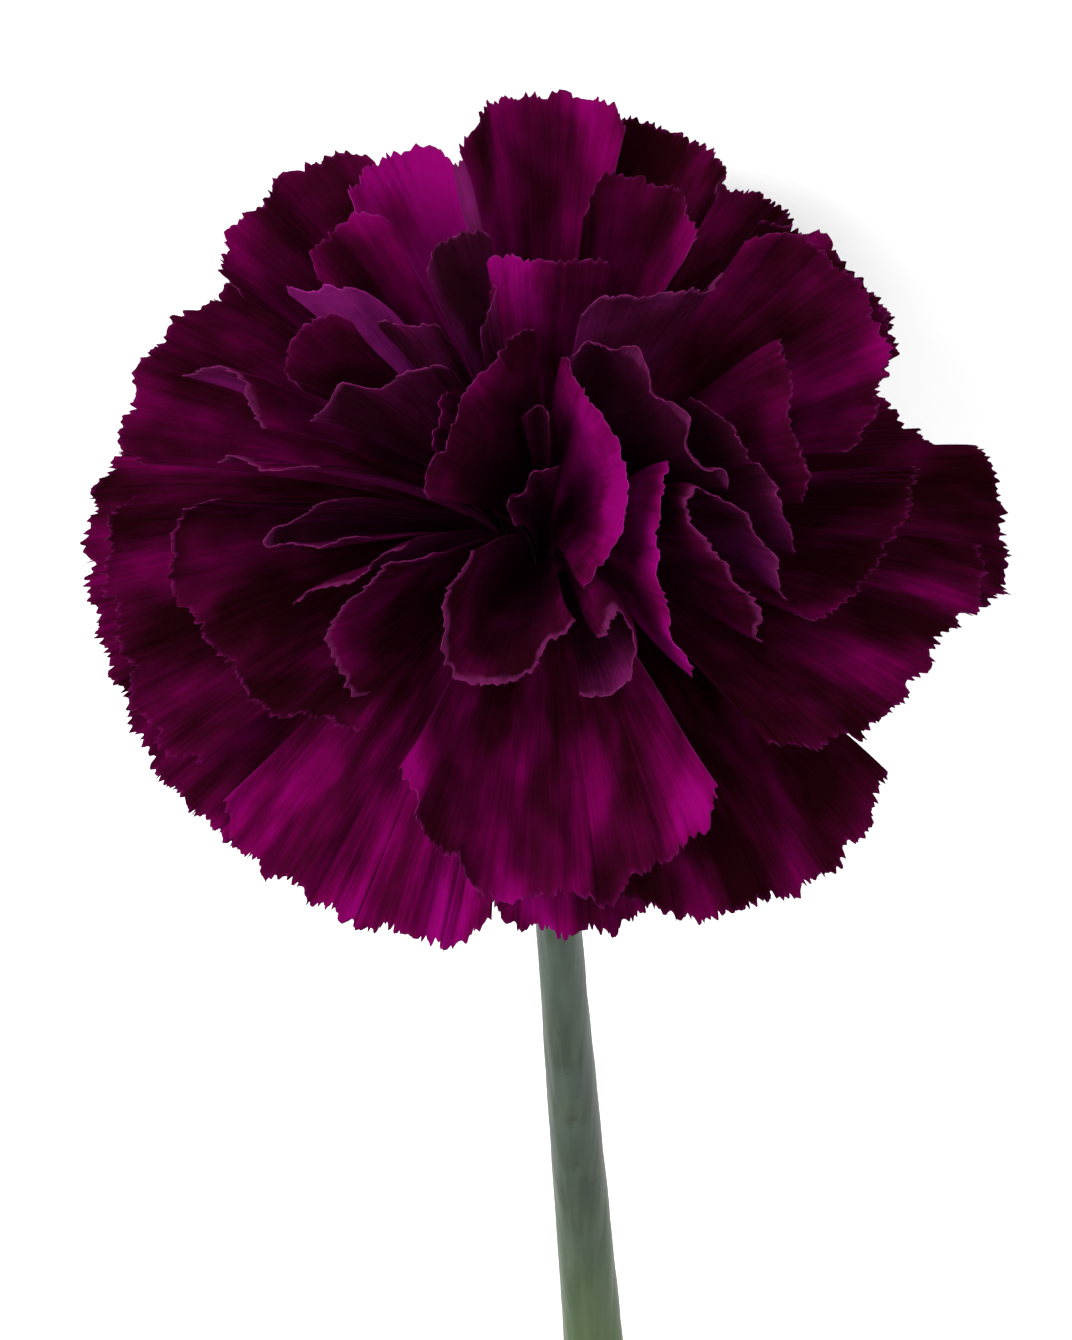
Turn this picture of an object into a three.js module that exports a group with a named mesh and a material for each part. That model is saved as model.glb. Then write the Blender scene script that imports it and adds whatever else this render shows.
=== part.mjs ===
// A cut double carnation, lying on its side: a domed head of fan-shaped petals whose
// narrow claws run down inside a five-toothed calyx, scale bracts, and a bare stem with
// one pair of narrow leaves. Millimetres, +Z up, face towards -Y, cut end towards +Y.
import * as THREE from "three";

// ---- the head
const BLOOM_RADIUS = 40; // mouth of the calyx to the petal margins
const MOUTH_RADIUS = 7; // outermost claws where they leave the calyx
const CLAW_RISE = 9; // height over which the claws bend outwards
const MOUTH_LEAN = 100; // lean, in degrees, of the petals at the rim of the mouth
const MOUTH_HEIGHT = 33.5; // centre of the calyx mouth above the table
const FLOWER_TILT = 9; // how far the face looks up from level, in degrees
const TABLE_EASE = 6; // height under which the petals are pressed flat by the table

// ---- one petal
const PETAL_THICK = 0.3; // at the margin
const CLAW_THICK = MOUTH_RADIUS / 50; // the claws share the mouth, so they scale with it
const CLAW_HALF_WIDTH = MOUTH_RADIUS / 14;
const CLAW_SPACING = MOUTH_RADIUS / 5.6; // between neighbouring claws
const BLADE_SPREAD = 0.38; // share of the height over which a claw widens to a full blade
const CLAW_SETTLE = 0.34; // share of the height over which claws come back to their own rays
const CORNER_DROP = 0.045; // how much shorter a petal is at its two side corners

// ---- calyx, bracts and stem
const GAP = 0.3; // clearance between pieces that lie on each other
const CALYX_LENGTH = 28;
const CALYX_WALL = 0.8;
const CALYX_TOOTH = 5.5; // height of the five teeth
const CALYX_TEETH = 5;
const TOOTH_ABOVE = 1.5; // tips of the teeth above the mouth
const CALYX_SHOULDER = 1.5; // height over which the calyx rounds out from the stem
const RECEPTACLE_RADIUS = 4.8;
const BRACT_LENGTH = 11;
const BRACT_THICK = 0.4;
const NECK_RADIUS = 1.7; // stem under the calyx
const CUT_RADIUS = 3.1; // stem at the cut
const STEM_LENGTH = 170; // from the foot of the calyx to the cut
const STEM_SWAY = 0.055; // sideways lean of the stem as a whole
const STEM_BOW = 0.05; // sideways lean of the stem where it leaves the calyx
const NODE_FROM_CUT = 38;
const NODE_SWELL = 1.1; // how much thicker the stem is at its node

// ---- leaves
const LEAF_LENGTH = 62;
const LEAF_HALF_WIDTH = 2.8;
const LEAF_THICK = 0.6;
const LEAF_SHEATH = 7; // length of the clasping foot

// Each petal: reach as a share of the bloom radius, then its margin from side to side as
// [lean from the flower's axis, azimuth round it] in degrees. Azimuth 90 faces the table.
const PETALS = {
  guard_1: [1.0, [93.5, 225], [97.5, 237], [98.5, 250], [98, 263]],
  guard_2: [0.97, [94.5, 261], [96, 268], [98, 276], [98, 283]],
  guard_3: [1.0, [91, 279], [95, 289], [97, 301], [94, 311], [89, 318]],
  guard_4: [0.975, [76, 301], [78, 314], [77, 328], [79, 342], [83, 354]],
  guard_5: [1.0, [70, 189], [77, 200], [85, 211], [89, 221]],
  guard_6: [0.99, [80, 172], [83, 182], [86, 194], [92, 207], [96, 219], [99, 231]],
  guard_7: [1.0, [72, 252], [82, 257], [87, 267], [87, 278], [83, 286], [75, 291]],
  guard_8: [1.0, [50, 170], [59, 177], [65, 188]],
  guard_9: [0.99, [85, 345], [89, 356], [88, 5], [82, 12]],
  guard_10: [0.95, [95, 12], [98, 28], [98, 44], [96, 59]],
  guard_11: [0.94, [90, 54], [94, 69], [96, 85], [97, 100]],
  guard_12: [0.94, [91, 95], [95, 109], [97, 123], [97, 137]],
  guard_13: [0.97, [91, 131], [93, 147], [92, 160], [89, 171]],
  petal_1: [1.0, [54, 208], [60, 207], [65, 216], [68, 227], [69, 236], [68, 245]],
  petal_2: [0.95, [47, 236], [50, 229], [54, 221], [49, 222], [44, 226]],
  petal_3: [0.97, [58, 228], [54, 233], [49, 238], [45, 243]],
  petal_4: [1.0, [45, 250], [48, 244], [54, 240], [60, 240], [64, 245]],
  petal_5: [1.0, [43, 257], [50, 255], [56, 257], [57, 263], [54, 269], [50, 273]],
  petal_6: [1.0, [53, 277], [49, 281], [54, 284], [60, 281], [61, 275]],
  petal_7: [1.0, [47, 276], [43, 281], [38, 284], [32, 286], [26, 283], [18, 275]],
  petal_8: [1.0, [61, 290], [52, 288.5], [45, 288.5], [38, 291], [34, 298]],
  petal_9: [1.0, [60, 302], [51, 300], [44, 296], [40, 296], [38, 300], [42, 305], [49, 309], [56, 310]],
  petal_10: [1.0, [16, 279], [16, 292], [20, 302], [27, 307], [34, 306], [40, 307]],
  petal_11: [0.98, [28, 314], [33, 314], [39, 314], [45, 315], [52, 314]],
  petal_12: [1.0, [47, 319], [41, 322], [36, 327], [33, 333], [31, 342]],
  petal_13: [0.98, [46, 334], [47, 345], [45.5, 356], [43, 7], [38, 14], [29, 18]],
  petal_14: [0.93, [54, 2], [52, 14], [46, 25], [37, 32]],
  petal_15: [0.99, [33, 71], [37, 83], [37, 95], [31, 104], [24, 116]],
  petal_16: [0.95, [32, 39], [36, 50], [41, 62], [43, 77], [43, 88]],
  petal_17: [0.92, [19, 14], [22, 28], [24, 44], [21, 60], [13, 69]],
  petal_18: [0.97, [9, 340], [5, 300], [5, 240], [8, 198]],
  petal_19: [1.0, [11, 293], [13, 313], [16, 328], [20, 344], [23, 355]],
  petal_20: [1.0, [14, 264], [18, 256], [23, 251], [30, 247], [38, 247]],
  petal_21: [0.97, [17.5, 240], [14.5, 239], [12, 236], [10.5, 222]],
  petal_22: [1.0, [37, 212], [33, 216], [29, 221], [25, 228], [22, 235]],
  petal_23: [1.0, [50, 204], [47, 209], [44, 215], [41, 221]],
  petal_24: [1.0, [51, 183], [46, 188], [42, 194], [41, 200], [42, 207]],
  petal_25: [1.0, [35, 132], [42, 140], [45, 152], [45, 163], [43, 172]],
  petal_26: [0.98, [24, 122], [29, 133], [30, 144], [27, 154]],
  petal_27: [0.97, [22, 158], [27, 161], [30, 167], [31, 174]],
  petal_28: [1.0, [34, 181], [30, 184], [26, 189], [22, 195]],
  petal_29: [1.0, [27, 200], [32, 198], [35, 202], [36, 207]],
  petal_30: [1.0, [24, 207], [21, 214], [18, 223]],
  petal_31: [0.97, [16, 192], [14, 183], [12, 172], [8, 158]],
  petal_32: [0.95, [24, 240], [28, 241], [32, 242]],
  petal_33: [0.9, [63, 19], [71, 32], [71, 50]],
  petal_34: [0.92, [61, 45], [66, 58], [70, 75], [71, 95]],
  petal_35: [0.91, [68, 133], [72, 118], [67, 98], [64, 92]],
  petal_36: [0.9, [59, 137], [63, 152], [64, 166]],
  petal_37: [0.9, [40, 262], [36, 261], [33, 266], [31, 274]],
  petal_38: [0.92, [24.5, 262], [23.5, 268], [26, 271.5]],
  petal_39: [0.93, [62, 312], [62, 325], [61, 338], [62, 350]],
};

const BLADE_LEVELS = [0, 0.12, 0.28, 0.48, 0.72]; // shares of the height, below the margin
const rad = THREE.MathUtils.degToRad;
const group = new THREE.Group();
const colours = { petal: 0x5a0540, green: 0x5f7357, cut: 0xb7bf93 };

function addMesh(name, positions, indices, colour) {
  const geometry = new THREE.BufferGeometry();
  geometry.setAttribute("position", new THREE.Float32BufferAttribute(positions.flat(), 3));
  geometry.setIndex(indices);
  const mesh = new THREE.Mesh(geometry, new THREE.MeshStandardMaterial({ color: colour }));
  mesh.name = name;
  group.add(mesh);
}

// ---- the flower's own frame: across, towards the table side, and along the axis
const tilt = rad(FLOWER_TILT);
const ACROSS = new THREE.Vector3(-1, 0, 0);
const TABLEWARD = new THREE.Vector3(0, -Math.sin(tilt), -Math.cos(tilt));
const AXIS = new THREE.Vector3(0, -Math.cos(tilt), Math.sin(tilt));

function flowerPoint(across, tableward, along) {
  return new THREE.Vector3(0, 0, MOUTH_HEIGHT)
    .addScaledVector(ACROSS, across)
    .addScaledVector(TABLEWARD, tableward)
    .addScaledVector(AXIS, along);
}

// The table presses the lowest petals up without letting two of them meet.
function pressed(point) {
  if (point.z < TABLE_EASE) point.z = TABLE_EASE * Math.exp((point.z - TABLE_EASE) / TABLE_EASE);
  return point;
}

// ---- petals: every petal keeps to rays that never cross, from the mouth to the dome
function marginCurve(points) {
  const flat = points.map(([lean, azimuth]) => {
    return new THREE.Vector3(lean * Math.cos(rad(azimuth)), lean * Math.sin(rad(azimuth)), 0);
  });
  return new THREE.CatmullRomCurve3(flat, false, "catmullrom", 0.5);
}

function mouthPoint(direction) {
  return direction.clone().multiplyScalar(MOUTH_RADIUS / MOUTH_LEAN);
}

function rayPoint(direction, height) {
  const lean = direction.length();
  const outward = direction.clone().multiplyScalar(1 / Math.max(lean, 1e-6));
  const early = (2 * CLAW_RISE) / BLOOM_RADIUS;
  const root = Math.sqrt(early * early + 4 * (1 - early) * height);
  const t = (root - early) / (2 * (1 - early));
  const inner = (MOUTH_RADIUS * lean) / MOUTH_LEAN;
  const radius = (1 - t * t) * inner + t * t * BLOOM_RADIUS * Math.sin(rad(lean));
  const along = 2 * t * (1 - t) * CLAW_RISE + t * t * BLOOM_RADIUS * Math.cos(rad(lean));
  return new THREE.Vector3(outward.x * radius, outward.y * radius, along);
}

// Claws share the mouth: neighbours push each other apart until all have room.
function spreadClaws(curves) {
  const feet = curves.map((curve) => mouthPoint(curve.getPointAt(0.5)));
  for (let round = 0; round < 80; round++) {
    for (let i = 0; i < feet.length; i++) {
      for (let j = i + 1; j < feet.length; j++) {
        const apart = feet[j].clone().sub(feet[i]);
        const short = CLAW_SPACING - apart.length();
        if (short <= 0) continue;
        apart.setLength(short / 3);
        feet[j].add(apart);
        feet[i].sub(apart);
      }
      feet[i].clampLength(0, MOUTH_RADIUS);
    }
  }
  return feet;
}

// A closed sheet from a grid of middle points: two faces half a thickness away, and a rim.
function sheet(name, rows, thickness, colour) {
  const last = rows.length - 1;
  const side = rows[0].length - 1;
  const positions = [];
  const faces = [1, -1].map((sign) => {
    return rows.map((row, i) => {
      return row.map((point, j) => {
        const along = rows[Math.min(i + 1, last)][j].clone().sub(rows[Math.max(i - 1, 0)][j]);
        const across = row[Math.min(j + 1, side)].clone().sub(row[Math.max(j - 1, 0)]);
        const normal = across.cross(along).normalize();
        const offset = point.clone().addScaledVector(normal, (sign * thickness(i)) / 2);
        positions.push(offset.toArray());
        return positions.length - 1;
      });
    });
  });
  const [top, bottom] = faces;
  const indices = [];
  for (let i = 0; i < last; i++) {
    for (let j = 0; j < side; j++) {
      const [a, b, c, d] = [top[i][j], top[i][j + 1], top[i + 1][j + 1], top[i + 1][j]];
      const [e, f, g, h] = [bottom[i][j], bottom[i][j + 1], bottom[i + 1][j + 1], bottom[i + 1][j]];
      indices.push(a, b, c, a, c, d, e, g, f, e, h, g);
    }
  }
  for (let j = 0; j < side; j++) {
    const [a, b, e, f] = [top[0][j], top[0][j + 1], bottom[0][j], bottom[0][j + 1]];
    indices.push(a, e, f, a, f, b);
    const [c, d, g, h] = [top[last][j], top[last][j + 1], bottom[last][j], bottom[last][j + 1]];
    indices.push(c, d, h, c, h, g);
  }
  for (let i = 0; i < last; i++) {
    const [a, b, e, f] = [top[i][0], top[i + 1][0], bottom[i][0], bottom[i + 1][0]];
    indices.push(a, b, f, a, f, e);
    const [c, d, g, h] = [top[i][side], top[i + 1][side], bottom[i][side], bottom[i + 1][side]];
    indices.push(c, g, h, c, h, d);
  }
  addMesh(name, positions, indices, colour);
}

function smooth(x) {
  const t = Math.min(Math.max(x, 0), 1);
  return t * t * (3 - 2 * t);
}

function petal(name, reach, curve, foot) {
  const centre = curve.getPointAt(0.5);
  const halfMouth = (curve.getLength() / 2) * (MOUTH_RADIUS / MOUTH_LEAN);
  const clawShare = Math.min(1, CLAW_HALF_WIDTH / halfMouth);
  const shift = foot.clone().sub(mouthPoint(centre));
  const cells = curve.getLength() > 40 ? 6 : 4;
  const rows = [];
  const gauge = [];
  const footShare = (RECEPTACLE_RADIUS - 2 * GAP) / MOUTH_RADIUS;
  const strip = (level) => {
    const wide = clawShare + (1 - clawShare) * smooth(level / BLADE_SPREAD);
    const settle = Math.max(0, 1 - level / CLAW_SETTLE) ** 2;
    return Array.from({ length: cells + 1 }, (_, j) => {
      const u = (2 * j) / cells - 1;
      const end = level === reach ? reach * (1 - CORNER_DROP * u ** 6) : level;
      const direction = curve.getPointAt(0.5 + (u * wide) / 2);
      return rayPoint(direction, end).addScaledVector(shift, settle);
    });
  };
  const mouth = strip(0);
  rows.push(mouth.map((p) => new THREE.Vector3(p.x * footShare, p.y * footShare, GAP - CALYX_LENGTH + 3.5)));
  gauge.push(CLAW_THICK);
  for (const level of [...BLADE_LEVELS, reach]) {
    rows.push(strip(level));
    gauge.push(CLAW_THICK + (PETAL_THICK - CLAW_THICK) * level);
  }
  const placed = rows.map((row) => row.map((p) => pressed(flowerPoint(p.x, p.y, p.z))));
  sheet(name, placed, (i) => gauge[i], colours.petal);
}

const names = Object.keys(PETALS);
const curves = names.map((name) => marginCurve(PETALS[name].slice(1)));
const feet = spreadClaws(curves);
names.forEach((name, i) => petal(name, PETALS[name][0], curves[i], feet[i]));

// ---- calyx: a tube with five teeth round the claws, closing in on the stem at its foot
const tubeInner = RECEPTACLE_RADIUS + 2 * GAP;
const mouthInner = MOUTH_RADIUS + 2 * GAP;

// Inner radius of the calyx at a height above its foot; the teeth flare with the petals.
function calyxInner(height) {
  const foot = NECK_RADIUS + GAP;
  if (height < CALYX_SHOULDER) return foot + ((tubeInner - foot) * height) / CALYX_SHOULDER;
  const share = (height - CALYX_SHOULDER) / (CALYX_LENGTH - CALYX_SHOULDER);
  const flare = 0.09 * Math.max(0, height - CALYX_LENGTH + 1.5) ** 2;
  return tubeInner + (mouthInner - tubeInner) * Math.min(1, share) ** 0.8 + flare;
}

function calyx() {
  const around = CALYX_TEETH * 6;
  const steps = 6;
  const outer = [];
  const inner = [];
  for (let i = 0; i <= steps; i++) {
    outer.push([]);
    inner.push([]);
    for (let k = 0; k < around; k++) {
      const angle = (2 * Math.PI * k) / around;
      const toTip = Math.abs(((k / 6) % 1) * 2 - 1);
      const top = CALYX_LENGTH + TOOTH_ABOVE - CALYX_TOOTH * (1 - toTip);
      const share = Math.max(0, i - 1) / (steps - 1);
      const height = i === 0 ? 0 : CALYX_SHOULDER + (top - CALYX_SHOULDER) * share;
      const radius = calyxInner(height);
      const wall = i === steps ? CALYX_WALL / 2 : CALYX_WALL;
      const floor = i === 0 ? CALYX_WALL / 2 : 0;
      const [x, y] = [Math.cos(angle), Math.sin(angle)];
      outer[i].push([x * (radius + wall), y * (radius + wall), height - CALYX_LENGTH]);
      inner[i].push([x * radius, y * radius, height - CALYX_LENGTH + floor]);
    }
  }
  closedTube("calyx", outer, inner, colours.green);
}

// A closed body between an outer and an inner ring of rows that run round the axis.
function closedTube(name, outer, inner, colour) {
  const positions = [];
  const number = (rows) => {
    return rows.map((row) => {
      return row.map(([x, y, z]) => {
        positions.push(flowerPoint(x, y, z).toArray());
        return positions.length - 1;
      });
    });
  };
  const out = number(outer);
  const within = number(inner);
  const last = out.length - 1;
  const around = out[0].length;
  const indices = [];
  for (let k = 0; k < around; k++) {
    const next = (k + 1) % around;
    for (let i = 0; i < last; i++) {
      indices.push(out[i][k], out[i][next], out[i + 1][next], out[i][k], out[i + 1][next], out[i + 1][k]);
      const [a, b, c, d] = [within[i][k], within[i][next], within[i + 1][next], within[i + 1][k]];
      indices.push(a, c, b, a, d, c);
    }
    indices.push(out[0][k], within[0][k], within[0][next], out[0][k], within[0][next], out[0][next]);
    const [a, b, c, d] = [out[last][k], out[last][next], within[last][next], within[last][k]];
    indices.push(a, b, c, a, c, d);
  }
  addMesh(name, positions, indices, colour);
}

// ---- bracts: two crossed pairs of pointed scales hugging the foot of the calyx
function bract(name, azimuth, layer) {
  const cells = 8;
  const lift = GAP + BRACT_THICK / 2 + layer * (BRACT_THICK + GAP);
  const length = BRACT_LENGTH * (1 - 0.12 * layer);
  const profile = [
    [NECK_RADIUS + GAP + CALYX_WALL + lift * 0.5, -lift],
    [tubeInner + CALYX_WALL + lift, CALYX_SHOULDER - lift * 0.6],
  ];
  for (const share of [0.35, 0.6, 0.82, 1]) {
    profile.push([calyxInner(length * share) + CALYX_WALL + lift, length * share]);
  }
  const rows = profile.map(([radius, height]) => {
    const share = Math.max(0, height / length);
    const half = rad(76) * (1 - share ** 2.2) + rad(3);
    return Array.from({ length: cells + 1 }, (_, j) => {
      const angle = rad(azimuth) + ((2 * j) / cells - 1) * half;
      const [x, y] = [radius * Math.cos(angle), radius * Math.sin(angle)];
      return flowerPoint(x, y, height - CALYX_LENGTH);
    });
  });
  sheet(name, rows, () => BRACT_THICK, colours.green);
}

calyx();
bract("bract_1", 0, 0);
bract("bract_2", 180, 0);
bract("bract_3", 90, 1);
bract("bract_4", 270, 1);

// ---- stem: from the receptacle inside the calyx down to the plain cut on the table
const lowest = new THREE.Box3().setFromObject(group).min.z;
const foot = flowerPoint(0, 0, -CALYX_LENGTH);
const cutAlong = -CALYX_LENGTH - STEM_LENGTH;
const cutEnd = flowerPoint(STEM_SWAY * STEM_LENGTH, 0, cutAlong);
cutEnd.z = lowest + CUT_RADIUS;
const stemBend = foot.clone().addScaledVector(AXIS, -STEM_LENGTH / 3);
stemBend.addScaledVector(ACROSS, (STEM_BOW * STEM_LENGTH) / 3);
const stemFlat = cutEnd.clone().lerp(foot, 1 / 3);
const stemLine = new THREE.CubicBezierCurve3(foot, stemBend, stemFlat, cutEnd);
const nodeShare = 1 - NODE_FROM_CUT / STEM_LENGTH;

function stemRadius(share) {
  const swell = NODE_SWELL * Math.exp(-(((share - nodeShare) * STEM_LENGTH) ** 2) / 9);
  return NECK_RADIUS + (CUT_RADIUS - NECK_RADIUS) * Math.min(1, share / 0.6) + swell;
}

function ringOf(centre, tangent, radius, around) {
  const up = new THREE.Vector3(0, 0, 1).addScaledVector(tangent, -tangent.z).normalize();
  const side = up.clone().cross(tangent);
  return Array.from({ length: around }, (_, k) => {
    const angle = (2 * Math.PI * k) / around;
    const point = centre.clone().addScaledVector(side, radius * Math.cos(angle));
    return point.addScaledVector(up, radius * Math.sin(angle));
  });
}

// A closed body round a row of rings, with a fan on each end.
function solidOfRings(name, rings, colour) {
  const positions = rings.flat().map((point) => point.toArray());
  const around = rings[0].length;
  const indices = [];
  for (let i = 0; i + 1 < rings.length; i++) {
    for (let k = 0; k < around; k++) {
      const next = (k + 1) % around;
      const [a, b] = [i * around + k, i * around + next];
      indices.push(a, b, a + around, b, b + around, a + around);
    }
  }
  const end = (rings.length - 1) * around;
  for (let k = 1; k + 1 < around; k++) {
    indices.push(0, k + 1, k, end, end + k, end + k + 1);
  }
  addMesh(name, positions, indices, colour);
}

function stem() {
  const around = 14;
  const rings = [];
  const head = [
    [2.6, RECEPTACLE_RADIUS],
    [1.9, RECEPTACLE_RADIUS],
    [1.2, NECK_RADIUS],
  ];
  for (const [above, radius] of head) {
    rings.push(ringOf(flowerPoint(0, 0, above - CALYX_LENGTH), AXIS.clone().negate(), radius, around));
  }
  const shares = [0, 0.15, 0.3, 0.45, 0.6, -3.2, -1.6, 0, 1.6, 3.2, 0.85, 1];
  shares.forEach((value, i) => {
    const share = i > 4 && i < 10 ? nodeShare + value / STEM_LENGTH : value;
    rings.push(ringOf(stemLine.getPointAt(share), stemLine.getTangentAt(share), stemRadius(share), around));
  });
  solidOfRings("stem", rings, colours.green);
}
stem();

// ---- leaves: a pair of narrow channelled blades that clasp the node and curl back
function leaf(name, side, roll) {
  const steps = 14;
  const cells = 4;
  const forward = stemLine.getTangentAt(nodeShare).negate();
  const level = new THREE.Vector3(0, 0, 1).cross(forward).normalize();
  const out = level.multiplyScalar(side).applyAxisAngle(forward, roll);
  const edge = out.clone().cross(forward);
  const sheathRadius = CUT_RADIUS + NODE_SWELL + GAP + LEAF_THICK / 2;
  const stepLength = LEAF_LENGTH / steps;
  let spine = stemLine.getPointAt(nodeShare).addScaledVector(forward, 1);
  spine.addScaledVector(out, sheathRadius);
  const rows = [];
  for (let i = 0; i <= steps; i++) {
    const along = i * stepLength;
    const open = smooth((along - LEAF_SHEATH / 2) / LEAF_SHEATH);
    const share = along / LEAF_LENGTH;
    const curl = Math.max(0, (along - LEAF_SHEATH) / (LEAF_LENGTH - LEAF_SHEATH));
    const heading = rad(25) * open + rad(95) * curl;
    const clasp = rad(80 - 52 * open);
    const taper = Math.sqrt(Math.max(0.012, 1 - share ** 2.2));
    const half = (sheathRadius * rad(80) * (1 - open) + LEAF_HALF_WIDTH * open) * taper;
    const bend = half / clasp;
    const away = out.clone().multiplyScalar(Math.cos(heading)).addScaledVector(forward, -Math.sin(heading));
    rows.push(
      Array.from({ length: cells + 1 }, (_, j) => {
        const angle = clasp * ((2 * j) / cells - 1);
        const point = spine.clone().addScaledVector(away, bend * (Math.cos(angle) - 1));
        return point.addScaledVector(edge, bend * Math.sin(angle));
      }),
    );
    const ahead = forward.clone().multiplyScalar(Math.cos(heading)).addScaledVector(out, Math.sin(heading));
    spine = spine.clone().addScaledVector(ahead, stepLength);
  }
  sheet(name, rows, () => LEAF_THICK, colours.green);
}
leaf("leaf_1", 1, rad(10));
leaf("leaf_2", -1, rad(10));

// The flower stands with its lowest points on the table and its middle over the origin.
const box = new THREE.Box3().setFromObject(group);
const middle = box.getCenter(new THREE.Vector3());
group.position.set(-middle.x, -middle.y, -box.min.z);

export default group;
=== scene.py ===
# %% [markdown]
# # A cut double carnation
# The flower lies on a table: a domed head of fringed petals, a green calyx that holds
# them like a cup, a few scales under it, and a stem with one pair of curled leaves.
# The solids that were measured and packed come in first. Everything made below keeps
# to their box.
# %% Load the measured solids
import math
import bpy
import numpy as np
from mathutils import Matrix, Vector


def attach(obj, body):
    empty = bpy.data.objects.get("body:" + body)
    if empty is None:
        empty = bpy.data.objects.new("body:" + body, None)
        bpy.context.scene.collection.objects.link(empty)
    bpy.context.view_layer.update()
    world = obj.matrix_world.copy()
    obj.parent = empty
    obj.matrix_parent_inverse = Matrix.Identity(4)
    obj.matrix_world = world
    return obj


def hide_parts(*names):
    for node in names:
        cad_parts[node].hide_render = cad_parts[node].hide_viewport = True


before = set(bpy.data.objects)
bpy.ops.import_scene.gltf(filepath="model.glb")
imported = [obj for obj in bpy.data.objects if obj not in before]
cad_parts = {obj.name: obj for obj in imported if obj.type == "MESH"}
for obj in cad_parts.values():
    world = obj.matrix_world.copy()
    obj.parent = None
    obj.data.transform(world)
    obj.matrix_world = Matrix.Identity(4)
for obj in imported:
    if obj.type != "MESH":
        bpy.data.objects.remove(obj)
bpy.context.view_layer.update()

# %% [markdown]
# ## Where the flower lies
# A carnation is built round one axis, from the stem through the calyx to the middle of
# the head. All its petals start in the mouth of the calyx, so positions are easiest to
# give in the flower's own frame: across, towards the table, and along the axis, all in
# millimetres from the mouth. One function turns such a point into metres in the scene.
# The table presses the lowest petals up: heights under TABLE_EASE shrink smoothly, so
# that no two petals can meet.
# %% The flower's own frame
BLOOM_RADIUS = 40.0
MOUTH_RADIUS = 7.0
MOUTH_LEAN = 100.0
CLAW_RISE = 9.0
MOUTH_HEIGHT = 33.5
TABLE_EASE = 6.0
RECEPTACLE_RADIUS = 4.8
CALYX_LENGTH = 28.0
GAP = 0.3
LIFT = np.array([5.735, -79.057, -1.151])

tilt = math.radians(9)
ACROSS = np.array([-1.0, 0.0, 0.0])
TABLEWARD = np.array([0.0, -math.sin(tilt), -math.cos(tilt)])
AXIS = np.array([0.0, -math.cos(tilt), math.sin(tilt)])
FRAME = np.array([ACROSS, TABLEWARD, AXIS])


def in_scene(points, pressed=True):
    """Flower-frame millimetres to scene metres."""
    placed = np.asarray(points) @ FRAME + [0, 0, MOUTH_HEIGHT]
    if pressed:
        z = placed[..., 2]
        eased = TABLE_EASE * np.exp((np.minimum(z, TABLE_EASE) - TABLE_EASE) / TABLE_EASE)
        placed[..., 2] = np.where(z < TABLE_EASE, eased, z)
    return (placed + LIFT) / 1000


mouth = in_scene([0, 0, 0])
print("mouth of the calyx at", mouth.round(4))

# %% [markdown]
# ## Camera, table and light
# The head is looked down on from the front, with the stem running down out of the
# picture, so the camera is rolled half a turn. A long lens keeps the perspective flat.
# The table is a plain pale plane. One large soft light stands at the left of the
# picture, where it rakes across the pleats of the petals, and a weaker one fills in.
# %% Camera
looking = np.array([0.0, -math.cos(math.radians(51)), math.sin(math.radians(51))])
picture_up = np.array([0.0, -math.sin(math.radians(51)), -math.cos(math.radians(51))])
eye = mouth + 0.650 * looking
target = mouth - 0.00085 * ACROSS - 0.01004 * picture_up
back = (eye - target) / np.linalg.norm(eye - target)
right = np.cross(picture_up, back)
right /= np.linalg.norm(right)
up = np.cross(back, right)
camera_data = bpy.data.cameras.new("camera")
camera_data.lens = 205.2
camera_data.clip_start = 0.01
camera = bpy.data.objects.new("camera", camera_data)
turn = Matrix([[*row] for row in np.column_stack([right, up, back])]).to_4x4()
camera.matrix_world = Matrix.Translation(Vector(eye)) @ turn
bpy.context.scene.collection.objects.link(camera)
bpy.context.scene.camera = camera
print("camera at", eye.round(3))

# %% Table, light and air
def plain_material(name, colour, roughness):
    made = bpy.data.materials.new(name)
    made.use_nodes = True
    shader = made.node_tree.nodes["Principled BSDF"]
    shader.inputs["Base Color"].default_value = (*colour, 1)
    shader.inputs["Roughness"].default_value = roughness
    return made


table_mesh = bpy.data.meshes.new("table")
table_mesh.from_pydata([(-3, -3, 0), (3, -3, 0), (3, 3, 0), (-3, 3, 0)], [], [(0, 1, 2, 3)])
table = bpy.data.objects.new("table", table_mesh)
table_mesh.materials.append(plain_material("pale table", (0.86, 0.86, 0.86), 0.9))
bpy.context.scene.collection.objects.link(table)


def area_light(name, place, size, power):
    light = bpy.data.lights.new(name, "AREA")
    light.size = size
    light.energy = power
    lamp = bpy.data.objects.new(name, light)
    lamp.location = place
    lamp.rotation_euler = (Vector(mouth) - Vector(place)).to_track_quat("-Z", "Y").to_euler()
    bpy.context.scene.collection.objects.link(lamp)


area_light("key", mouth + 0.75 * looking + 0.75 * np.array([1, 0, 0]) + 0.1 * picture_up, 0.9, 24)
area_light("fill", mouth + 0.9 * looking - 0.7 * np.array([1, 0, 0]), 1.2, 13)
world = bpy.data.worlds.new("air")
world.use_nodes = True
world.node_tree.nodes["Background"].inputs["Color"].default_value = (1, 1, 1, 1)
world.node_tree.nodes["Background"].inputs["Strength"].default_value = 0.85
bpy.context.scene.world = world
bpy.context.scene.view_settings.view_transform = "Standard"
print("lights: key, fill and a white sky")

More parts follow.
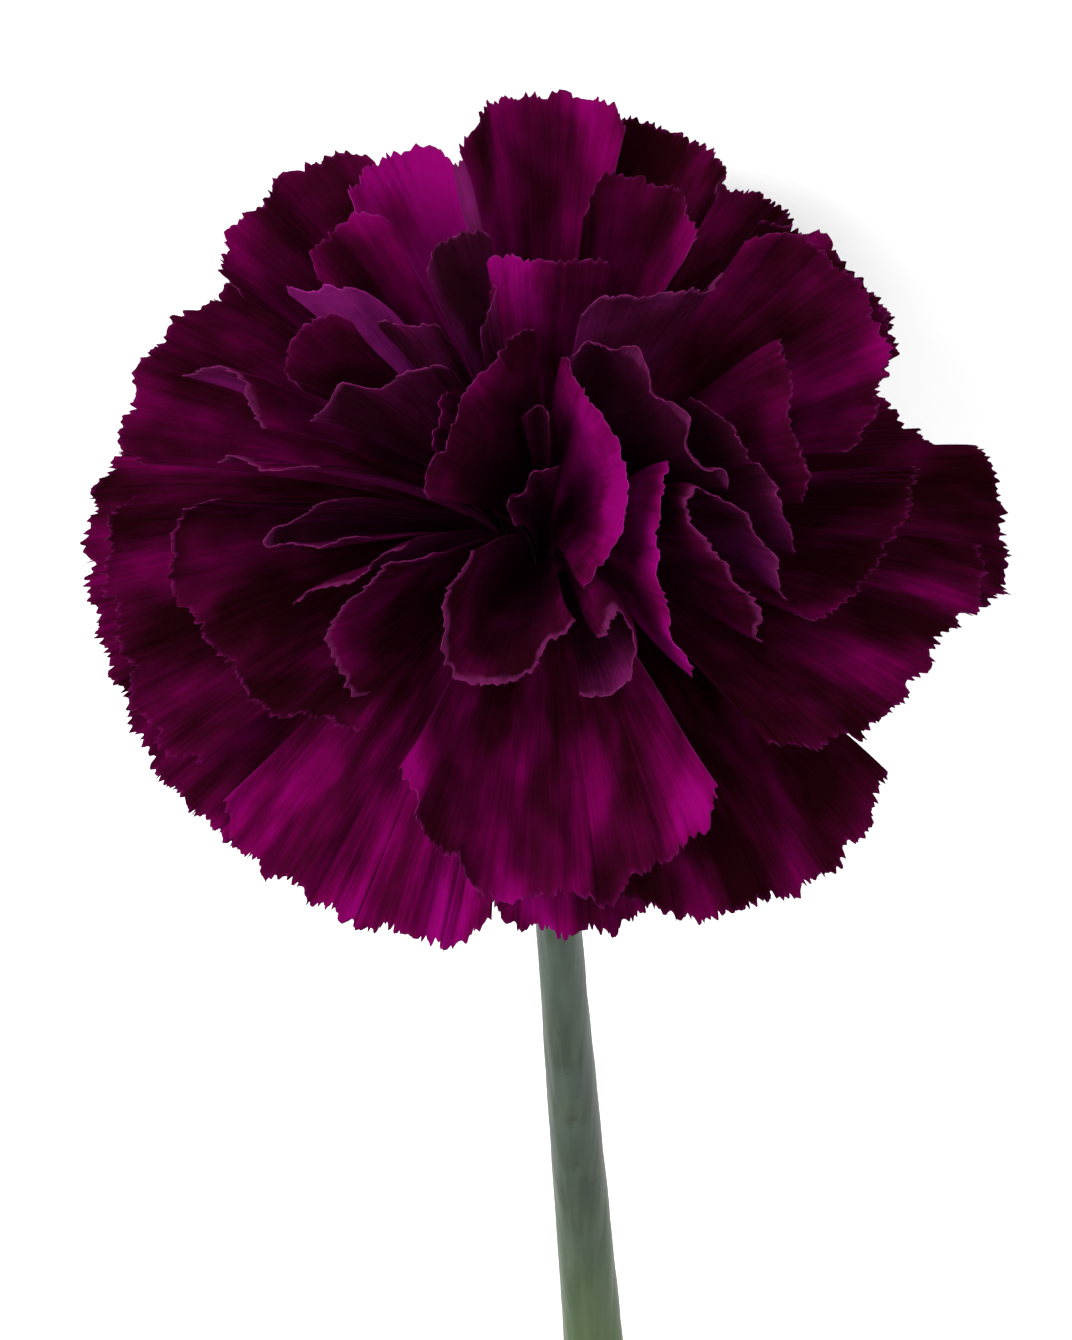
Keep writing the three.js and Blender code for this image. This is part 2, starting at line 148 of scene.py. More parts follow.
# %% [markdown]
# ## The petals' rule
# Every petal of a double carnation is a fan on a narrow claw. The claws stand packed in
# the mouth of the calyx, bend outwards, and spread into blades that end on the dome.
# If each petal keeps to a set of rays from the mouth to the dome, and the rays never
# cross, then no petal can cut through another. So a petal needs only two things: its
# margin, drawn on the dome as lean from the axis and azimuth round it, and its reach,
# as a share of the dome's radius. The upper, velvety face lies to the left of the line.
# %% Petal margins
PETALS = {
    "guard_1": (1.0, [(93.5, 225), (97.5, 237), (98.5, 250), (98, 263)]),
    "guard_2": (0.97, [(94.5, 261), (96, 268), (98, 276), (98, 283)]),
    "guard_3": (1.0, [(91, 279), (95, 289), (97, 301), (94, 311), (89, 318)]),
    "guard_4": (0.975, [(76, 301), (78, 314), (77, 328), (79, 342), (83, 354)]),
    "guard_5": (1.0, [(70, 189), (77, 200), (85, 211), (89, 221)]),
    "guard_6": (0.99, [(80, 172), (83, 182), (86, 194), (92, 207), (96, 219), (99, 231)]),
    "guard_7": (1.0, [(72, 252), (82, 257), (87, 267), (87, 278), (83, 286), (75, 291)]),
    "guard_8": (1.0, [(50, 170), (59, 177), (65, 188)]),
    "guard_9": (0.99, [(85, 345), (89, 356), (88, 5), (82, 12)]),
    "guard_10": (0.95, [(95, 12), (98, 28), (98, 44), (96, 59)]),
    "guard_11": (0.94, [(90, 54), (94, 69), (96, 85), (97, 100)]),
    "guard_12": (0.94, [(91, 95), (95, 109), (97, 123), (97, 137)]),
    "guard_13": (0.97, [(91, 131), (93, 147), (92, 160), (89, 171)]),
    "petal_1": (1.0, [(54, 208), (60, 207), (65, 216), (68, 227), (69, 236), (68, 245)]),
    "petal_2": (0.95, [(47, 236), (50, 229), (54, 221), (49, 222), (44, 226)]),
    "petal_3": (0.97, [(58, 228), (54, 233), (49, 238), (45, 243)]),
    "petal_4": (1.0, [(45, 250), (48, 244), (54, 240), (60, 240), (64, 245)]),
    "petal_5": (1.0, [(43, 257), (50, 255), (56, 257), (57, 263), (54, 269), (50, 273)]),
    "petal_6": (1.0, [(53, 277), (49, 281), (54, 284), (60, 281), (61, 275)]),
    "petal_7": (1.0, [(47, 276), (43, 281), (38, 284), (32, 286), (26, 283), (18, 275)]),
    "petal_8": (1.0, [(61, 290), (52, 288.5), (45, 288.5), (38, 291), (34, 298)]),
    "petal_9": (1.0, [(60, 302), (51, 300), (44, 296), (40, 296), (38, 300), (42, 305),
                      (49, 309), (56, 310)]),
    "petal_10": (1.0, [(16, 279), (16, 292), (20, 302), (27, 307), (34, 306), (40, 307)]),
    "petal_11": (0.98, [(28, 314), (33, 314), (39, 314), (45, 315), (52, 314)]),
    "petal_12": (1.0, [(47, 319), (41, 322), (36, 327), (33, 333), (31, 342)]),
    "petal_13": (0.98, [(46, 334), (47, 345), (45.5, 356), (43, 7), (38, 14), (29, 18)]),
    "petal_14": (0.93, [(54, 2), (52, 14), (46, 25), (37, 32)]),
    "petal_15": (0.99, [(33, 71), (37, 83), (37, 95), (31, 104), (24, 116)]),
    "petal_16": (0.95, [(32, 39), (36, 50), (41, 62), (43, 77), (43, 88)]),
    "petal_17": (0.92, [(19, 14), (22, 28), (24, 44), (21, 60), (13, 69)]),
    "petal_18": (0.97, [(9, 340), (5, 300), (5, 240), (8, 198)]),
    "petal_19": (1.0, [(11, 293), (13, 313), (16, 328), (20, 344), (23, 355)]),
    "petal_20": (1.0, [(14, 264), (18, 256), (23, 251), (30, 247), (38, 247)]),
    "petal_21": (0.97, [(17.5, 240), (14.5, 239), (12, 236), (10.5, 222)]),
    "petal_22": (1.0, [(37, 212), (33, 216), (29, 221), (25, 228), (22, 235)]),
    "petal_23": (1.0, [(50, 204), (47, 209), (44, 215), (41, 221)]),
    "petal_24": (1.0, [(51, 183), (46, 188), (42, 194), (41, 200), (42, 207)]),
    "petal_25": (1.0, [(35, 132), (42, 140), (45, 152), (45, 163), (43, 172)]),
    "petal_26": (0.98, [(24, 122), (29, 133), (30, 144), (27, 154)]),
    "petal_27": (0.97, [(22, 158), (27, 161), (30, 167), (31, 174)]),
    "petal_28": (1.0, [(34, 181), (30, 184), (26, 189), (22, 195)]),
    "petal_29": (1.0, [(27, 200), (32, 198), (35, 202), (36, 207)]),
    "petal_30": (1.0, [(24, 207), (21, 214), (18, 223)]),
    "petal_31": (0.97, [(16, 192), (14, 183), (12, 172), (8, 158)]),
    "petal_32": (0.95, [(24, 240), (28, 241), (32, 242)]),
    "petal_33": (0.9, [(63, 19), (71, 32), (71, 50)]),
    "petal_34": (0.92, [(61, 45), (66, 58), (70, 75), (71, 95)]),
    "petal_35": (0.91, [(68, 133), (72, 118), (67, 98), (64, 92)]),
    "petal_36": (0.9, [(59, 137), (63, 152), (64, 166)]),
    "petal_37": (0.9, [(40, 262), (36, 261), (33, 266), (31, 274)]),
    "petal_38": (0.92, [(24.5, 262), (23.5, 268), (26, 271.5)]),
    "petal_39": (0.93, [(62, 312), (62, 325), (61, 338), (62, 350)]),
}

# %% Rays from the mouth to the dome
def smooth(x):
    t = np.clip(x, 0, 1)
    return t * t * (3 - 2 * t)


class Margin:
    """A smooth line through the margin's points, measured by its length in degrees."""

    def __init__(self, points):
        lean, azimuth = np.array(points, float).T
        knots = np.column_stack([lean * np.cos(np.radians(azimuth)), lean * np.sin(np.radians(azimuth))])
        ends = [2 * knots[0] - knots[1]], [2 * knots[-1] - knots[-2]]
        held = np.vstack([ends[0], knots, ends[1]])
        line = []
        for a, b, c, d in zip(held, held[1:], held[2:], held[3:]):
            t = np.linspace(0, 1, 40, endpoint=False)[:, None]
            cubic = (3 * b - a - 3 * c + d) * t ** 3 + (2 * a - 5 * b + 4 * c - d) * t ** 2
            line.append(0.5 * (2 * b + (c - a) * t + cubic))
        self.line = np.vstack([*line, knots[-1:]])
        steps = np.linalg.norm(np.diff(self.line, axis=0), axis=1)
        self.run = np.concatenate([[0], np.cumsum(steps)])
        self.length = self.run[-1]

    def at(self, share):
        place = np.clip(share, 0, 1) * self.length
        return np.stack([np.interp(place, self.run, self.line[:, k]) for k in (0, 1)], -1)


def ray(direction, height):
    """The point at a height (share of the dome's radius) on the ray of a direction."""
    lean = np.maximum(np.linalg.norm(direction, axis=-1), 1e-6)
    early = 2 * CLAW_RISE / BLOOM_RADIUS
    t = (np.sqrt(early ** 2 + 4 * (1 - early) * height) - early) / (2 * (1 - early))
    inner = MOUTH_RADIUS * lean / MOUTH_LEAN
    radius = (1 - t * t) * inner + t * t * BLOOM_RADIUS * np.sin(np.radians(lean))
    along = 2 * t * (1 - t) * CLAW_RISE + t * t * BLOOM_RADIUS * np.cos(np.radians(lean))
    flat = direction / lean[..., None] * radius[..., None]
    return np.concatenate([flat, along[..., None]], -1)


margins = {name: Margin(points) for name, (_, points) in PETALS.items()}
print("margins:", {name: round(m.length) for name, m in list(margins.items())[:5]}, "...")

# %% [markdown]
# The claws share the mouth of the calyx. In a real bud they grow until they touch, and
# slide apart until all have room, so here each pair that stands too close pushes apart,
# a little at a time.
# %% Room for the claws
CLAW_SPACING = 1.25


def spread_claws():
    feet = np.array([m.at(0.5) for m in margins.values()]) * MOUTH_RADIUS / MOUTH_LEAN
    for _ in range(80):
        for i in range(len(feet)):
            for j in range(i + 1, len(feet)):
                apart = feet[j] - feet[i]
                short = CLAW_SPACING - np.hypot(*apart)
                if short > 0:
                    apart = apart / np.hypot(*apart) * short / 3
                    feet[j] += apart
                    feet[i] -= apart
            feet[i] *= min(1, MOUTH_RADIUS / max(np.hypot(*feet[i]), 1e-9))
    return dict(zip(margins, feet))


feet = spread_claws()
print("claws:", len(feet))

# %% [markdown]
# ## Bending one petal
# A fresh petal is never a plain cone: soft folds run out from the claw, its margin
# waves, and its lip rolls over in places to show the paler face. The folds and waves are
# small turns of the rays to and fro, which grow towards the margin. The lip is moved
# along the sheet's own normal afterwards. The table lists, for each petal, the number
# of folds, their depth in degrees, the roll of the lip in millimetres, how bright the
# petal is between dark wine (0) and full magenta (1), partly its own colour and partly
# painted light and shade, and the width in millimetres of the mauve band along its lip,
# which is partly the paler turned face and partly a painted grazing sheen.
# %% How each petal is worked
WORKED = {
    "guard_1": (2.6, 2, 0.3, 0.66, 0.0), "guard_2": (1.5, 0.8, 0.2, 0.6, 0.0),
    "guard_3": (2.5, 1.1, 0.3, 0.24, 0.0), "guard_4": (2.3, 1.1, 0.4, 0.26, 0.0),
    "guard_5": (1.8, 0.9, 0.3, 0.32, 0.0), "guard_6": (3.0, 1.3, 0.3, 0.42, 0.0),
    "guard_7": (3.2, 2.2, 0.5, 0.46, 0.0), "guard_8": (1.3, 0.8, 0.4, 0.38, 0.0),
    "guard_9": (2.3, 1.4, 0.4, 0.14, 0.0), "guard_10": (2.2, 1.1, 0.3, 0.2, 0.0),
    "guard_11": (2.3, 0.8, 0.2, 0.12, 0.0), "guard_12": (2.0, 0.8, 0.2, 0.08, 0.0),
    "guard_13": (2.6, 1.2, 0.3, 0.05, 0.0), "petal_1": (2.1, 1.2, 0.9, 0.1, 0),
    "petal_2": (1.2, 0.5, 0.6, 0.16, 0.8), "petal_3": (1.0, 0.5, 0.7, 0.3, 1),
    "petal_4": (1.3, 0.6, 0.9, 0.34, 0.5), "petal_5": (1.5, 0.6, 1.2, 0.12, 1),
    "petal_6": (1.1, 0.6, 1.1, 0.3, 1.5), "petal_7": (1.2, 0.5, 0.4, 0.78, 0),
    "petal_8": (1.0, 0.4, 0.4, 0.9, 0), "petal_9": (1.4, 0.6, 0.8, 0.22, 0.7),
    "petal_10": (1.6, 0.7, 1.6, 0.16, 2.6), "petal_11": (1.0, 0.5, 0.5, 0.18, 0),
    "petal_12": (1.1, 0.6, 0.7, 0.42, 0), "petal_13": (2.2, 1.1, 0.6, 0.42, 0),
    "petal_14": (1.7, 0.9, 0.6, 0.16, 0), "petal_15": (2.0, 0.9, 0.5, 0.5, 0),
    "petal_16": (2.0, 0.9, 0.6, 0.14, 0), "petal_17": (1.5, 0.7, 0.5, 0.36, 0),
    "petal_18": (1.0, 0.3, 0.5, 0.7, 0), "petal_19": (1.5, 0.6, 0.8, 0.14, 1),
    "petal_20": (1.6, 0.7, 0.7, 0.24, 0), "petal_21": (1.0, 0.4, 0.5, 0.3, 0),
    "petal_22": (1.3, 0.6, 0.7, 0.04, 0.8), "petal_23": (1.1, 0.5, 0.7, 0.2, 0.9),
    "petal_24": (1.2, 0.7, 0.7, 0.4, 0.8), "petal_25": (1.9, 0.9, 0.5, 0.34, 0),
    "petal_26": (1.2, 0.7, 0.5, 1, 0), "petal_27": (1.2, 0.6, 0.5, 0.52, 0),
    "petal_28": (1.1, 0.6, 0.6, 0.92, 0), "petal_29": (1.1, 0.6, 0.7, 0.2, 0),
    "petal_30": (1.0, 0.4, 0.6, 0.1, 0), "petal_31": (1.1, 0.4, 0.5, 0.15, 0),
    "petal_32": (1.0, 0.4, 0.5, 0.66, 0), "petal_38": (1.0, 0.3, 0.2, 0.0, 0.0),
    "petal_35": (2.0, 0.8, 0.4, 0.3, 0),
}
REST = (2.0, 0.8, 0.4, 0.12, 0.0)

# %% One petal as a grid of points
BLADE_SPREAD = 0.38
CLAW_SETTLE = 0.34
CLAW_HALF_WIDTH = 0.5
CORNER_DROP = 0.045
BACK_ROW = ("petal_33", "petal_34", "petal_35", "petal_36", "petal_39", "petal_1")


def rolled(points, climb, lip):
    """The lip turned over along the sheet's normal, away from the velvety face."""
    rise = np.gradient(points, axis=0)
    side = np.gradient(points, axis=1)
    normal = np.cross(rise, side)
    normal /= np.maximum(np.linalg.norm(normal, axis=-1, keepdims=True), 1e-9)
    over = np.clip((climb - 0.86) / 0.14, 0, 1) ** 2
    rise /= np.maximum(np.linalg.norm(rise, axis=-1, keepdims=True), 1e-9)
    return points - normal * (lip * over)[..., None] - rise * (0.4 * lip * over ** 2)[..., None]


def petal_grid(name, seed):
    """Rows of points from the claw's foot to the margin, with what the finish needs."""
    reach, _ = PETALS[name]
    margin = margins[name]
    folds, depth, lip, tone_and_painted_light, band = WORKED.get(name, REST)
    rng = np.random.default_rng(seed)
    width = margin.length * 0.7 * reach
    columns = max(40, round(width / 0.2))
    u = np.linspace(-1, 1, columns + 1)[None, :]
    climb = np.concatenate([np.zeros(4), 1 - (1 - np.linspace(0, 1, 36)) ** 1.3])[:, None]
    level = climb * reach * (1 - CORNER_DROP * u ** 6 * smooth((climb - 0.6) / 0.4))
    claw = min(1, CLAW_HALF_WIDTH / (margin.length / 2 * MOUTH_RADIUS / MOUTH_LEAN))
    back_row = name.startswith("guard") or name in BACK_ROW
    wide = claw + (1 - claw) * smooth(level / (0.2 if back_row else BLADE_SPREAD))
    share = 0.5 + u * wide / 2
    direction = margin.at(share)
    step = margin.at(share + 0.01) - margin.at(share - 0.01)
    normal = np.stack([step[..., 1], -step[..., 0]], -1)
    normal /= np.maximum(np.linalg.norm(normal, axis=-1, keepdims=True), 1e-9)
    phase = rng.uniform(0, 2 * math.pi, 7)
    skew = rng.uniform(-2.4, 2.4, 2)
    skew = skew + 0.7 * np.sin(4.2 * climb + phase[6])
    fold = share * folds * 2 * math.pi
    big = np.sin(fold + phase[0] + skew[:, :1] * climb + 0.8 * np.sin(fold * 0.41 + phase[1]))
    big *= 0.7 + 0.3 * np.sin(fold * 0.6 + phase[2])
    run = share * width * 2 * math.pi
    small = np.sin(run / 7.9 + phase[3] + skew[:, 1:] * climb)
    small = small + 0.6 * np.sin(run / 4.3 + phase[4] - skew[:, 1:] * climb)
    turn = big * smooth((climb - 0.3) / 0.7) + 0.3 * small * smooth((climb - 0.6) / 0.4) ** 2
    direction = direction + normal * (depth * turn)[..., None]
    uneven = np.sin(run / 6.7 + phase[5]) + np.sin(run / 3.7 + phase[6]) * np.sin(run / 9.0 + phase[0])
    level = level * (1 + 0.006 * uneven * smooth((climb - 0.8) / 0.2))
    points = ray(direction, level)
    shift = feet[name] - margin.at(0.5) * MOUTH_RADIUS / MOUTH_LEAN
    settle = np.maximum(0, 1 - level / CLAW_SETTLE) ** 2
    points[..., :2] += shift * settle[..., None]
    foot_share = (RECEPTACLE_RADIUS - 2 * GAP) / MOUTH_RADIUS
    for row, part in enumerate(np.linspace(1, 0, 4, endpoint=False)):
        drop = (CALYX_LENGTH - 3.5 - GAP) * part
        points[row, :, :2] = points[4, :, :2] * (1 + (foot_share - 1) * part)
        points[row, :, 2] = -drop
    roll = lip * (0.35 + 0.65 * np.sin(run / 13.0 + phase[1]) ** 2) * np.ones_like(climb)
    # Painted light and shade: one side of each big fold is painted brighter, the other darker, and the blade
    # is painted darker towards the claw, where shade lies deep in the head.
    tone_and_painted_light = tone_and_painted_light + 0.26 * big * smooth((climb - 0.3) / 0.5) - 0.28 * (1 - smooth((climb - 0.35) / 0.55))
    from_lip = (1 - climb) * BLOOM_RADIUS * reach
    # Painted mauve band along the lip: partly the paler turned face, partly painted grazing sheen.
    band = smooth((band * (0.7 + 0.3 * np.sin(run / 6.1 + phase[2])) - from_lip) / 0.5 + 1) * (band > 0)
    return {"points": rolled(points, climb, roll), "climb": climb * np.ones_like(u),
            "across": (share - 0.5) * width, "tone_and_painted_light": tone_and_painted_light * np.ones_like(level),
            "band": band * np.ones_like(level)}


tried = petal_grid("guard_7", 7)
print("guard_7 grid", tried["climb"].shape, "widest", round(float(np.ptp(tried["across"])), 1), "mm")

# %% [markdown]
# ## Finishing a thin sheet
# A petal's edge is cut into fine uneven teeth, the margin ruffles a little, and the
# tissue is a fifth of a millimetre thick, velvety on one face and paler on the other.
# The same three things are done to every petal, so they are one node tree with named
# inputs. It cuts the teeth by drawing margin points back along their rays, ruffles them
# along the normal, then thickens the sheet. Bracts and leaves use it without the teeth.
# %% Small helpers for node trees
def add_node(tree, kind, inputs=None, **settings):
    made = tree.nodes.new(kind)
    for name, value in settings.items():
        setattr(made, name, value)
    for name, value in (inputs or {}).items():
        if isinstance(value, bpy.types.NodeSocket):
            tree.links.new(value, made.inputs[name])
        else:
            made.inputs[name].default_value = value
    return made


def maths(tree, operation, first, second=0.0):
    return add_node(tree, "ShaderNodeMath", {0: first, 1: second}, operation=operation).outputs[0]


def ramp_up(tree, value, low, high):
    smoothed = add_node(tree, "ShaderNodeMapRange", {0: value, 1: low, 2: high})
    smoothed.interpolation_type = "SMOOTHSTEP"
    return smoothed.outputs[0]


def named(tree, name, kind="FLOAT"):
    reader = add_node(tree, "GeometryNodeInputNamedAttribute", {"Name": name}, data_type=kind)
    return reader.outputs[0]


# %% The tree that finishes a sheet
sheet_tree = bpy.data.node_groups.new("finish a sheet", "GeometryNodeTree")
SHEET_INPUTS = {
    "Sheet": "NodeSocketGeometry", "Fringe depth": "NodeSocketFloat",
    "Fringe pitch": "NodeSocketFloat", "Ruffle": "NodeSocketFloat",
    "Thickness": "NodeSocketFloat", "Seed": "NodeSocketFloat",
    "Upper face": "NodeSocketMaterial", "Outer face": "NodeSocketMaterial",
}
for socket_name, kind in SHEET_INPUTS.items():
    sheet_tree.interface.new_socket(socket_name, in_out="INPUT", socket_type=kind)
sheet_tree.interface.new_socket("Sheet", in_out="OUTPUT", socket_type="NodeSocketGeometry")


def build_sheet_tree(tree):
    given = tree.nodes.new("NodeGroupInput").outputs
    across = maths(tree, "DIVIDE", named(tree, "across"), given["Fringe pitch"])
    place = maths(tree, "ADD", across, maths(tree, "MULTIPLY", given["Seed"], 7.31))
    sway = add_node(tree, "ShaderNodeTexNoise", {"W": place, "Scale": 0.7}, noise_dimensions="1D")
    place = maths(tree, "ADD", place, maths(tree, "MULTIPLY", sway.outputs[0], 2.6))
    tooth = maths(tree, "MULTIPLY", maths(tree, "PINGPONG", place, 0.5), 2.0)
    tall = add_node(tree, "ShaderNodeTexNoise", {"W": place, "Scale": 0.45}, noise_dimensions="1D")
    tooth = maths(tree, "MULTIPLY", tooth, maths(tree, "MULTIPLY", tall.outputs[0], 1.9))
    cut = maths(tree, "MULTIPLY", tooth, ramp_up(tree, named(tree, "climb"), 0.962, 1.0))
    cut = maths(tree, "MULTIPLY", cut, maths(tree, "MULTIPLY", given["Fringe depth"], -1.0))
    back = add_node(tree, "ShaderNodeVectorMath", {0: named(tree, "rise", "FLOAT_VECTOR"), "Scale": cut},
                    operation="SCALE")
    wave = add_node(tree, "ShaderNodeTexNoise", {"W": maths(tree, "ADD", place, 50.0), "Scale": 0.3},
                    noise_dimensions="1D")
    wave = maths(tree, "SUBTRACT", wave.outputs[0], 0.5)
    wave = maths(tree, "MULTIPLY", wave, ramp_up(tree, named(tree, "climb"), 0.72, 1.0))
    wave = maths(tree, "MULTIPLY", wave, given["Ruffle"])
    normal = tree.nodes.new("GeometryNodeInputNormal").outputs[0]
    ruffle = add_node(tree, "ShaderNodeVectorMath", {0: normal, "Scale": wave}, operation="SCALE")
    offset = add_node(tree, "ShaderNodeVectorMath", {0: back.outputs[0], 1: ruffle.outputs[0]})
    moved = add_node(tree, "GeometryNodeSetPosition",
                     {"Geometry": given["Sheet"], "Offset": offset.outputs[0]}).outputs[0]
    taper = maths(tree, "MULTIPLY", ramp_up(tree, named(tree, "climb"), 0.8, 1.0), -0.6)
    gauge = maths(tree, "MULTIPLY", given["Thickness"], maths(tree, "ADD", taper, 1.0))
    thick = add_node(tree, "GeometryNodeExtrudeMesh",
                     {"Mesh": moved, "Offset Scale": gauge, "Individual": False})
    marked = add_node(tree, "GeometryNodeStoreNamedAttribute",
                      {"Geometry": thick.outputs["Mesh"], "Selection": thick.outputs["Top"],
                       "Name": "upper", "Value": 1.0}, domain="FACE")
    under = add_node(tree, "GeometryNodeFlipFaces", {"Mesh": moved})
    joined = tree.nodes.new("GeometryNodeJoinGeometry")
    tree.links.new(marked.outputs[0], joined.inputs[0])
    tree.links.new(under.outputs[0], joined.inputs[0])
    merged = add_node(tree, "GeometryNodeMergeByDistance",
                      {"Geometry": joined.outputs[0], "Distance": 1e-7})
    rounded = add_node(tree, "GeometryNodeSetShadeSmooth", {"Geometry": merged.outputs[0]})
    real = add_node(tree, "GeometryNodeRealizeInstances", {"Geometry": rounded.outputs[0]})
    outer = add_node(tree, "GeometryNodeSetMaterial",
                     {"Geometry": real.outputs[0], "Material": given["Outer face"]})
    upper = add_node(tree, "GeometryNodeSetMaterial",
                     {"Geometry": outer.outputs[0], "Material": given["Upper face"],
                      "Selection": maths(tree, "GREATER_THAN", named(tree, "upper"), 0.5)})
    tree.links.new(upper.outputs[0], tree.nodes.new("NodeGroupOutput").inputs[0])


build_sheet_tree(sheet_tree)
print("sheet tree:", len(sheet_tree.nodes), "nodes")

# %% Running a tree on a mesh and keeping the result
def run_tree(name, mesh, tree, values):
    """The plain mesh object that a node tree makes of a mesh."""
    raw = bpy.data.objects.new(name + "_raw", mesh)
    bpy.context.scene.collection.objects.link(raw)
    modifier = raw.modifiers.new("finish", "NODES")
    modifier.node_group = tree
    for item in tree.interface.items_tree:
        if item.in_out == "INPUT" and item.name in values:
            modifier[item.identifier] = values[item.name]
    bpy.context.view_layer.update()
    finished = raw.evaluated_get(bpy.context.evaluated_depsgraph_get())
    made = bpy.data.objects.new(name, bpy.data.meshes.new_from_object(finished))
    made.data.name = name
    bpy.data.objects.remove(raw)
    bpy.context.scene.collection.objects.link(made)
    return made


def sheet_mesh(name, blade, spread):
    """A one-sided sheet from a grid of points, with the attributes the tree reads."""
    points = blade["points"]
    rows, columns = points.shape[:2]
    number = np.arange(rows * columns).reshape(rows, columns)
    faces = np.stack([number[:-1, :-1], number[1:, :-1], number[1:, 1:], number[:-1, 1:]], -1)
    mesh = bpy.data.meshes.new(name + "_sheet")
    mesh.from_pydata(points.reshape(-1, 3).tolist(), [], faces.reshape(-1, 4).tolist())
    rise = np.gradient(points, axis=0)
    rise /= np.maximum(np.linalg.norm(rise, axis=-1, keepdims=True), 1e-9)
    plain = np.zeros((rows, columns))
    values = {"climb": blade["climb"], "across": blade["across"] / 1000,
              "tone_and_painted_light": blade.get("tone_and_painted_light", plain), "band": blade.get("band", plain)}
    for label, value in values.items():
        mesh.attributes.new(label, "FLOAT", "POINT").data.foreach_set("value", value.astype("f").ravel())
    kept = mesh.attributes.new("rise", "FLOAT_VECTOR", "POINT")
    kept.data.foreach_set("vector", rise.astype("f").ravel())
    mesh.attributes.new("upper", "FLOAT", "FACE")
    flat = np.stack([blade["across"] / 10, spread / 10], -1).reshape(-1, 2)
    lay_out(mesh, flat)
    return mesh


def lay_out(mesh, flat):
    """One own coordinate pair, in centimetres, for each vertex of a mesh."""
    uv = mesh.uv_layers.new(name="blade")
    loops = np.empty(len(mesh.loops), "i")
    mesh.loops.foreach_get("vertex_index", loops)
    uv.uv.foreach_set("vector", flat[loops].astype("f").ravel())


# %% [markdown]
# ## Petal tissue
# The upper face is velvet: tiny cone-shaped cells swallow white glare and give back a
# colour that runs from near-black wine to bright magenta, in soft patches and fine
# streaks which follow the veins. The outer face is smoother and paler, a dusty mauve.
# Both patterns are laid out on the petal's own coordinates, in centimetres across and
# along, so the streaks fan out with the blade. Each petal carries its own brightness as
# an attribute, partly its own colour and partly painted light and shade: painted
# highlights on one side of its folds and painted shade deeper towards the claw. Along
# some lips a painted mauve band stands partly for the paler turned face and partly for
# grazing sheen. The lip is a little lighter in places and the claw fades to pale green.
# %% Petal finishes
def colour_stops(tree, factor, stops):
    ramp = add_node(tree, "ShaderNodeValToRGB", {0: factor})
    while len(ramp.color_ramp.elements) < len(stops):
        ramp.color_ramp.elements.new(0.5)
    for element, (place, colour) in zip(ramp.color_ramp.elements, stops):
        element.position = place
        element.color = (*colour, 1)
    return ramp.outputs[0]


def blend_colours(tree, factor, first, second):
    mix = add_node(tree, "ShaderNodeMix", data_type="RGBA")
    for socket, value in ((mix.inputs[0], factor), (mix.inputs[6], first), (mix.inputs[7], second)):
        if isinstance(value, bpy.types.NodeSocket):
            tree.links.new(value, socket)
        else:
            socket.default_value = value
    return mix.outputs[2]


def noise(tree, where, scale, detail):
    return add_node(tree, "ShaderNodeTexNoise",
                    {"Vector": where, "Scale": scale, "Detail": detail}).outputs[0]


def streaks(tree, coordinates, across, along, detail=3.0):
    stretched = add_node(tree, "ShaderNodeMapping",
                         {"Vector": coordinates, "Scale": (across, along, 1.0)}).outputs[0]
    drawn = add_node(tree, "ShaderNodeTexNoise",
                     {"Vector": stretched, "Scale": 1.0, "Detail": detail, "Roughness": 0.55},
                     noise_dimensions="2D")
    return drawn.outputs[0]


